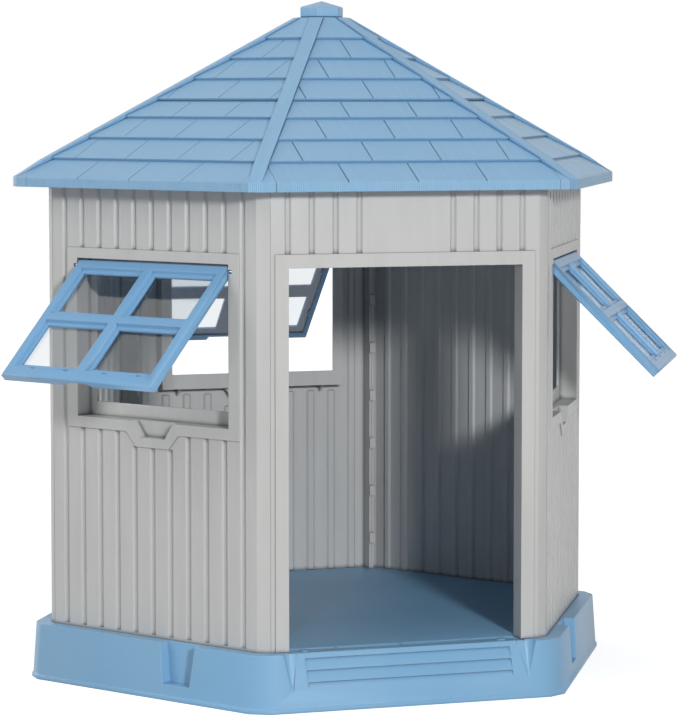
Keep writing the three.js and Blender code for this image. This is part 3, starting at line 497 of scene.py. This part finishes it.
for side, name in enumerate(sideNames):
    dress("wall_" + name, wallPlastic(side))
    shingled = roofPlastic("roofPlastic_" + name, side * sideTurn)
    dress("roof_upper_" + name, shingled)
    dress("roof_lower_" + name, shingled)
    dress("hip_cap_" + name, roofPlastic("capPlastic_" + name, (side + 0.5) * sideTurn, True))
clearMaterial = clearSheet()
for name in windowSides:
    dress("window_pane_" + name, clearMaterial)
print("solids dressed")


# new meshes that stand for solids
copies = {
    "weld": 2e-6,  # corners of a solid's faces this near to each other are one
    "flatWeight": 100,  # keeps large faces flat beside their rounded edges
}


def bareMesh(shape, name):
    # a mesh without the normals that the solid came with
    data = bpy.data.meshes.new(name)
    shape.to_mesh(data)
    shape.free()
    if "custom_normal" in data.attributes:
        data.attributes.remove(data.attributes["custom_normal"])
    return data


def merged(nodeName):
    shape = bmesh.new()
    shape.from_mesh(solids[nodeName].data)
    bmesh.ops.remove_doubles(shape, verts=shape.verts, dist=copies["weld"])
    return shape


def handOver(data, label, body, material, nodeName, flatten=True):
    piece = bpy.data.objects.new(label, data)
    data.name = label
    data.materials.clear()
    data.materials.append(material)
    bpy.context.scene.collection.objects.link(piece)
    if flatten:
        piece.modifiers.new("flats", "WEIGHTED_NORMAL").weight = copies["flatWeight"]
    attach(piece, body)
    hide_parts(nodeName)


# sashes, pins and finial have rounded edges, with these radii in metres
rounding = {
    "sash": 0.0009,
    "pin": 0.0004,
    "finial": 0.0016,
    "sharp": (20, 165),  # degrees between the faces of an edge that is rounded
    "segments": 3,
    "passes": 8,
    # a bevel that breaks the surface, in radii: how far its corners and faces lie from the
    # solid, how near a folded face lies to it and how far its edges reach
    "cornerOff": 0.75,
    "faceOff": 0.9,
    "foldNear": 0.2,
    "edgeReach": 1.5,
    "foldAlike": 0.2,  # cosine between a folded face and the solid below it
    "leastArea": 1e-10,
}


def nearEdge(point, ends):
    _, along = intersect_point_line(point, *ends)
    start, stop = ends
    return (point - start.lerp(stop, min(max(along, 0), 1))).length


def bevelled(base, chosen, radius):
    shape = base.copy()
    shape.edges.ensure_lookup_table()
    bmesh.ops.bevel(shape, geom=[shape.edges[i] for i in sorted(chosen)], offset=radius,
                    offset_type="OFFSET", segments=rounding["segments"], profile=0.5,
                    affect="EDGES", clamp_overlap=False, miter_outer="ARC", material=-1)
    bmesh.ops.triangulate(shape, faces=[face for face in shape.faces if len(face.verts) > 4])
    return shape


def bevelFaults(shape, surface, radius):
    # places where the bevelled shape leaves the solid's surface or folds over
    faults = [vert.co for vert in shape.verts
              if surface.find_nearest(vert.co)[3] > rounding["cornerOff"] * radius]
    for face in shape.faces:
        middle = face.calc_center_median()
        _, normal, _, distance = surface.find_nearest(middle)
        folded = (distance < rounding["foldNear"] * radius
                  and normal.dot(face.normal) < rounding["foldAlike"])
        away = distance > rounding["faceOff"] * radius
        if face.calc_area() > rounding["leastArea"] and (folded or away):
            faults.append(middle)
    return faults


def roundedCopy(nodeName, radius):
    # bevels the sharp edges, and leaves out those where a bevel would break the surface
    base = merged(nodeName)
    base.edges.ensure_lookup_table()
    surface = BVHTree.FromBMesh(base)
    low, high = (math.radians(angle) for angle in rounding["sharp"])
    chosen = {edge.index for edge in base.edges
              if edge.is_manifold and edge.calc_length() > radius
              and low < edge.calc_face_angle() < high}
    ends = {i: tuple(vert.co.copy() for vert in base.edges[i].verts) for i in chosen}
    reach = rounding["edgeReach"] * radius
    for _ in range(rounding["passes"]):
        shape = bevelled(base, chosen, radius)
        faults = bevelFaults(shape, surface, radius)
        broken = {i for i in chosen if any(nearEdge(point, ends[i]) < reach for point in faults)}
        if not broken:
            break
        chosen -= broken
        shape.free()
    else:
        shape = base.copy()
    base.free()
    data = bareMesh(shape, nodeName)
    data.shade_smooth()
    return data


sashPlastic = bluePlastic("sashPlastic", sashFinish)
for name in windowSides:
    body = "window_" + name
    side = sideNames.index(name)
    sash = "window_sash_" + name
    handOver(roundedCopy(sash, rounding["sash"]), "sash_" + name, body,
             sashPlastic, sash)
    for hand in ("left", "right"):
        pin = "hinge_pin_" + hand + "_" + name
        handOver(roundedCopy(pin, rounding["pin"]), "pin_" + hand + "_" + name, body,
                 pinSteel(side), pin)
handOver(roundedCopy("roof_finial", rounding["finial"]), "finial", "house",
         roofPlastic("finialPlastic", 0), "roof_finial")
print("rounded pieces placed")


# the base, with the ends of its step opened into the hollows beside them, in metres
baseShape = {
    "face": (0.35093, 0.34463),  # from the axis to the side's face, at the foot and at the top
    "top": 0.072,
    "stepHalf": 0.146,  # half the step's width, at the top
    "stepFoot": 0.030,
    "stepInset": 0.0145,
    "hollowMiddle": 0.157,
    "hollowDepth": 0.014,
    "hollowTip": 0.022,
    "hollowEnd": 0.169,
    "hollowBack": -0.329,
    "over": 0.001,  # how far a cutter stands above what it cuts
    "beyond": 0.005,  # and in front of it
    "overlap": 0.0004,  # so that no two cuts share a plane
    "short": 0.00005,  # how far a cutter stops before the step's back
    "smooth": 30,  # degrees, within the hollows
}


def hull(points):
    shape = bmesh.new()
    for point in points:
        shape.verts.new(point)
    bmesh.ops.convex_hull(shape, input=shape.verts)
    bmesh.ops.recalc_face_normals(shape, faces=shape.faces)
    data = bpy.data.meshes.new("cutter")
    shape.to_mesh(data)
    shape.free()
    return data


def stepCutters(hand):
    # what stands between the step's end and the middle of its hollow
    foot, crown = baseShape["face"]
    top, tip, stepFoot = (baseShape[part] for part in ("top", "hollowTip", "stepFoot"))
    middle, half, overlap = (baseShape[part] for part in ("hollowMiddle", "stepHalf", "overlap"))
    over = top + baseShape["over"]

    def face(z):
        return -(foot + (crown - foot) * z / top)

    def stepBack(z):
        rise = face(top) + baseShape["stepInset"] - face(stepFoot)
        return face(stepFoot) + rise * (z - stepFoot) / (top - stepFoot)

    def stepEnd(z):
        return middle - (middle - half) * (z - tip) / (over - tip)

    front = face(0) - baseShape["beyond"]
    deep = face(top) + baseShape["hollowDepth"]
    inner = half - overlap
    hollow = [(x, y, over) for x in (inner, middle + overlap) for y in (front, deep)]
    hollow += [(middle, y, tip) for y in (front, face(tip))]
    ramp = [(x, y, z) for z in (stepFoot, over) for x in (inner - overlap, stepEnd(z) + overlap)
            for y in (front, stepBack(z) - baseShape["short"])]
    return [hull([(hand * x, y, z) for x, y, z in points]) for points in (hollow, ramp)]


def carved(nodeName, cutters):
    whole = bpy.data.objects.new("whole", bareMesh(merged(nodeName), nodeName))
    bpy.context.scene.collection.objects.link(whole)
    tools = []
    for cutter in cutters:
        tool = bpy.data.objects.new("cutter", cutter)
        bpy.context.scene.collection.objects.link(tool)
        cut = whole.modifiers.new("cut", "BOOLEAN")
        cut.object = tool
        cut.solver = "EXACT"
        tools.append(tool)
    ready = whole.evaluated_get(bpy.context.evaluated_depsgraph_get())
    done = bpy.data.meshes.new_from_object(ready)
    for made in [whole, *tools]:
        mesh = made.data
        bpy.data.objects.remove(made)
        bpy.data.meshes.remove(mesh)
    return done


base = carved("base_tray", stepCutters(-1) + stepCutters(1))
for face in base.polygons:  # only the round hollows are smooth
    x, y, z = face.center
    face.use_smooth = (baseShape["stepHalf"] < abs(x) < baseShape["hollowEnd"]
                       and y < baseShape["hollowBack"] and z > baseShape["hollowTip"])
base.set_sharp_from_angle(angle=math.radians(baseShape["smooth"]))
handOver(base, "base", "house", bluePlastic("basePlastic", baseFinish),
         "base_tray", False)
print("base placed")
